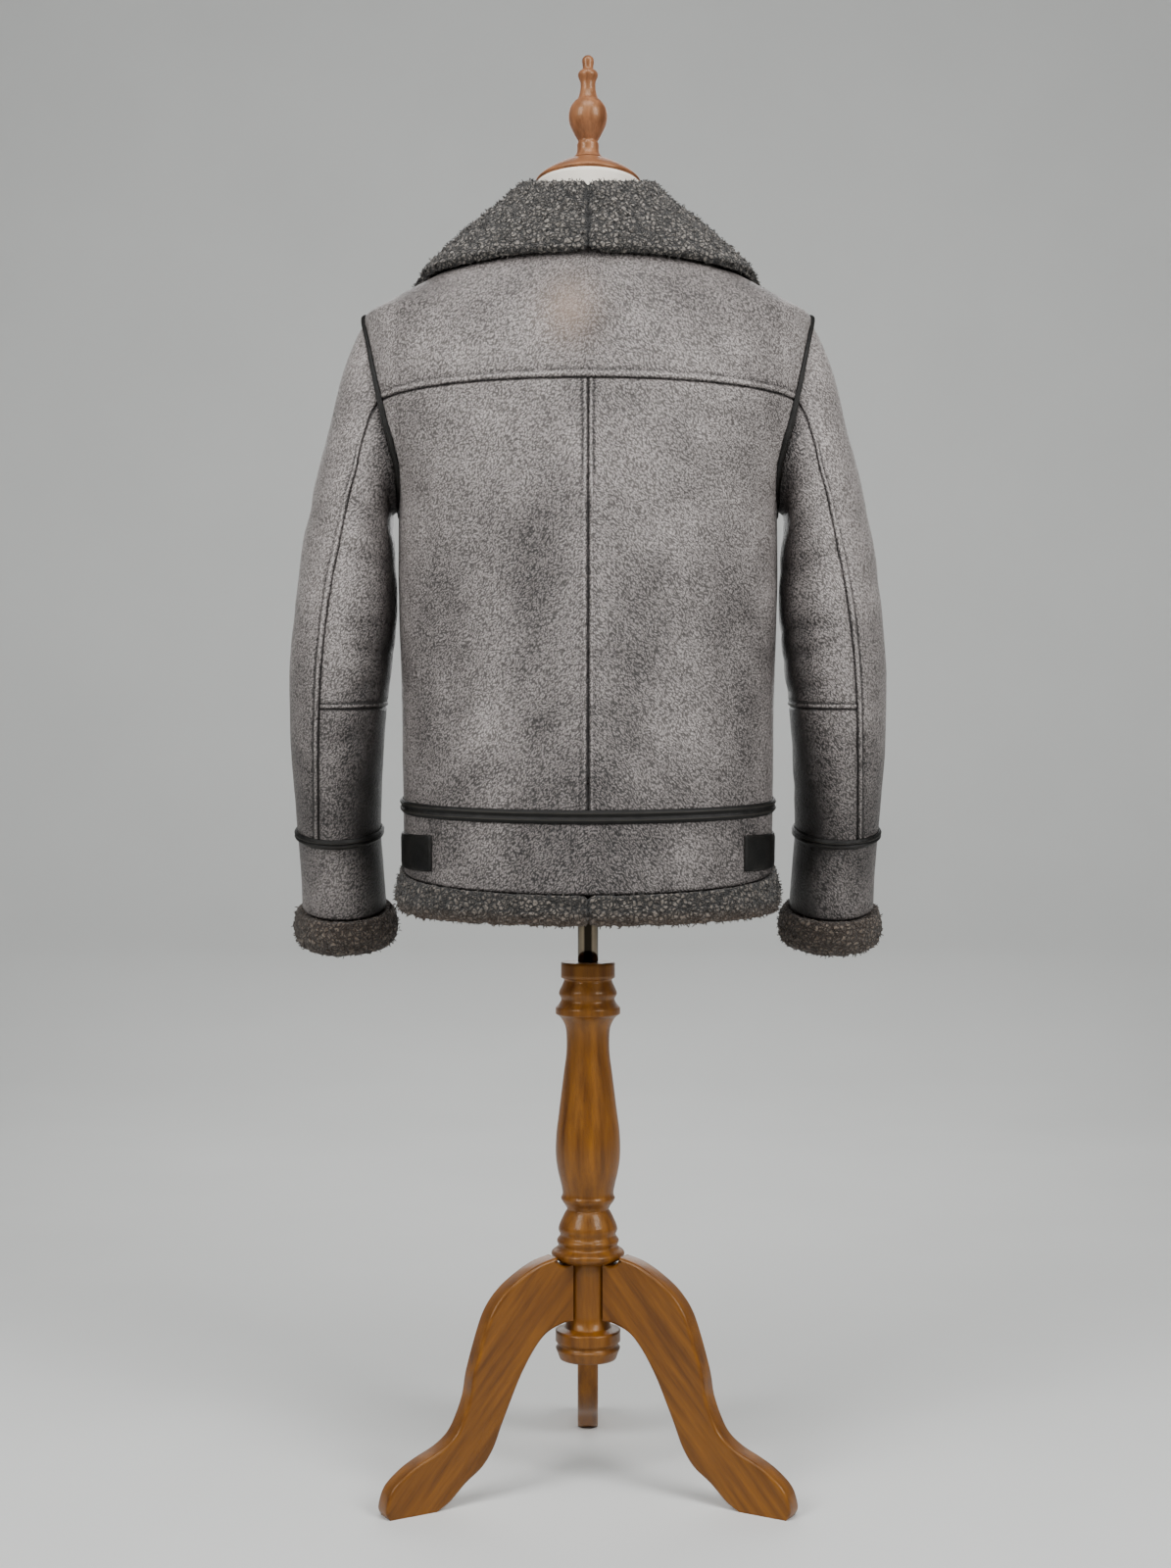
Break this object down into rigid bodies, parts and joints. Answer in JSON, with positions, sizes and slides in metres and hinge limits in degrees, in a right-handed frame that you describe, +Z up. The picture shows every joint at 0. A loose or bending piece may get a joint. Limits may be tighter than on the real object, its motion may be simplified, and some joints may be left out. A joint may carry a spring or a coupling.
{
  "type": "shearling bomber jacket on a dress form stand",
  "caption": "Shearling bomber jacket with wide turned-down fur collar, fur hem and fur cuffs, filled out on a limbless dress form with a turned wooden tripod stand.",
  "frame": {"origin": "on the floor, below the middle of the bounding box", "axes": "+Z up, the front of the jacket faces -Y, the wearer's left is +X"},
  "size_m": [0.6204, 0.3569, 1.4522],
  "materials": {
    "shearling_skin": "matt pebbled grey shearling skin",
    "shearling_wool": "dark grey curly wool pile",
    "black_leather": "semi-matt black leather",
    "zip_tape": "woven black tape",
    "zip_metal": "dark polished metal",
    "form_jersey": "cream cotton jersey",
    "turned_wood": "satin lacquered brown wood",
    "chrome": "polished chrome"
  },
  "bodies": {
    "jacket_on_stand": {"back_left": "shearling_skin", "back_right": "shearling_skin", "back_yoke": "shearling_skin", "front_left": "shearling_skin", "front_right": "shearling_skin", "waistband_back": "shearling_skin", "waistband_front_left": "shearling_skin", "waistband_front_right": "shearling_skin", "sleeve_top_left": "shearling_skin", "sleeve_top_right": "shearling_skin", "sleeve_under_upper_left": "shearling_skin", "sleeve_under_upper_right": "shearling_skin", "sleeve_under_lower_left": "shearling_skin", "sleeve_under_lower_right": "shearling_skin", "cuff_band_left": "shearling_skin", "cuff_band_right": "shearling_skin", "collar_left": "shearling_wool", "collar_right": "shearling_wool", "hem_fur_left": "shearling_wool", "hem_fur_right": "shearling_wool", "cuff_fur_left": "shearling_wool", "cuff_fur_right": "shearling_wool", "waist_trim": "black_leather", "side_tab_left": "black_leather", "side_tab_right": "black_leather", "armhole_trim_left": "black_leather", "armhole_trim_right": "black_leather", "cuff_trim_left": "black_leather", "cuff_trim_right": "black_leather", "zip_tape_left": "zip_tape", "zip_tape_right": "zip_tape", "zip_slider": "zip_metal", "form_torso": "form_jersey", "neck_cap": "turned_wood", "finial": "turned_wood", "post": "turned_wood", "leg_back_left": "turned_wood", "leg_back_right": "turned_wood", "leg_front": "turned_wood", "pole": "chrome"},
    "pull_tab": {"zip_pull": "zip_metal"}
  },
  "joints": [
    {"name": "pull_swing", "type": "hinge", "parent": "jacket_on_stand", "child": "pull_tab", "pos_m": [0, -0.06043, 1.20047], "axis": [-1, 0, 0], "range_deg": [0, 150]}
  ]
}
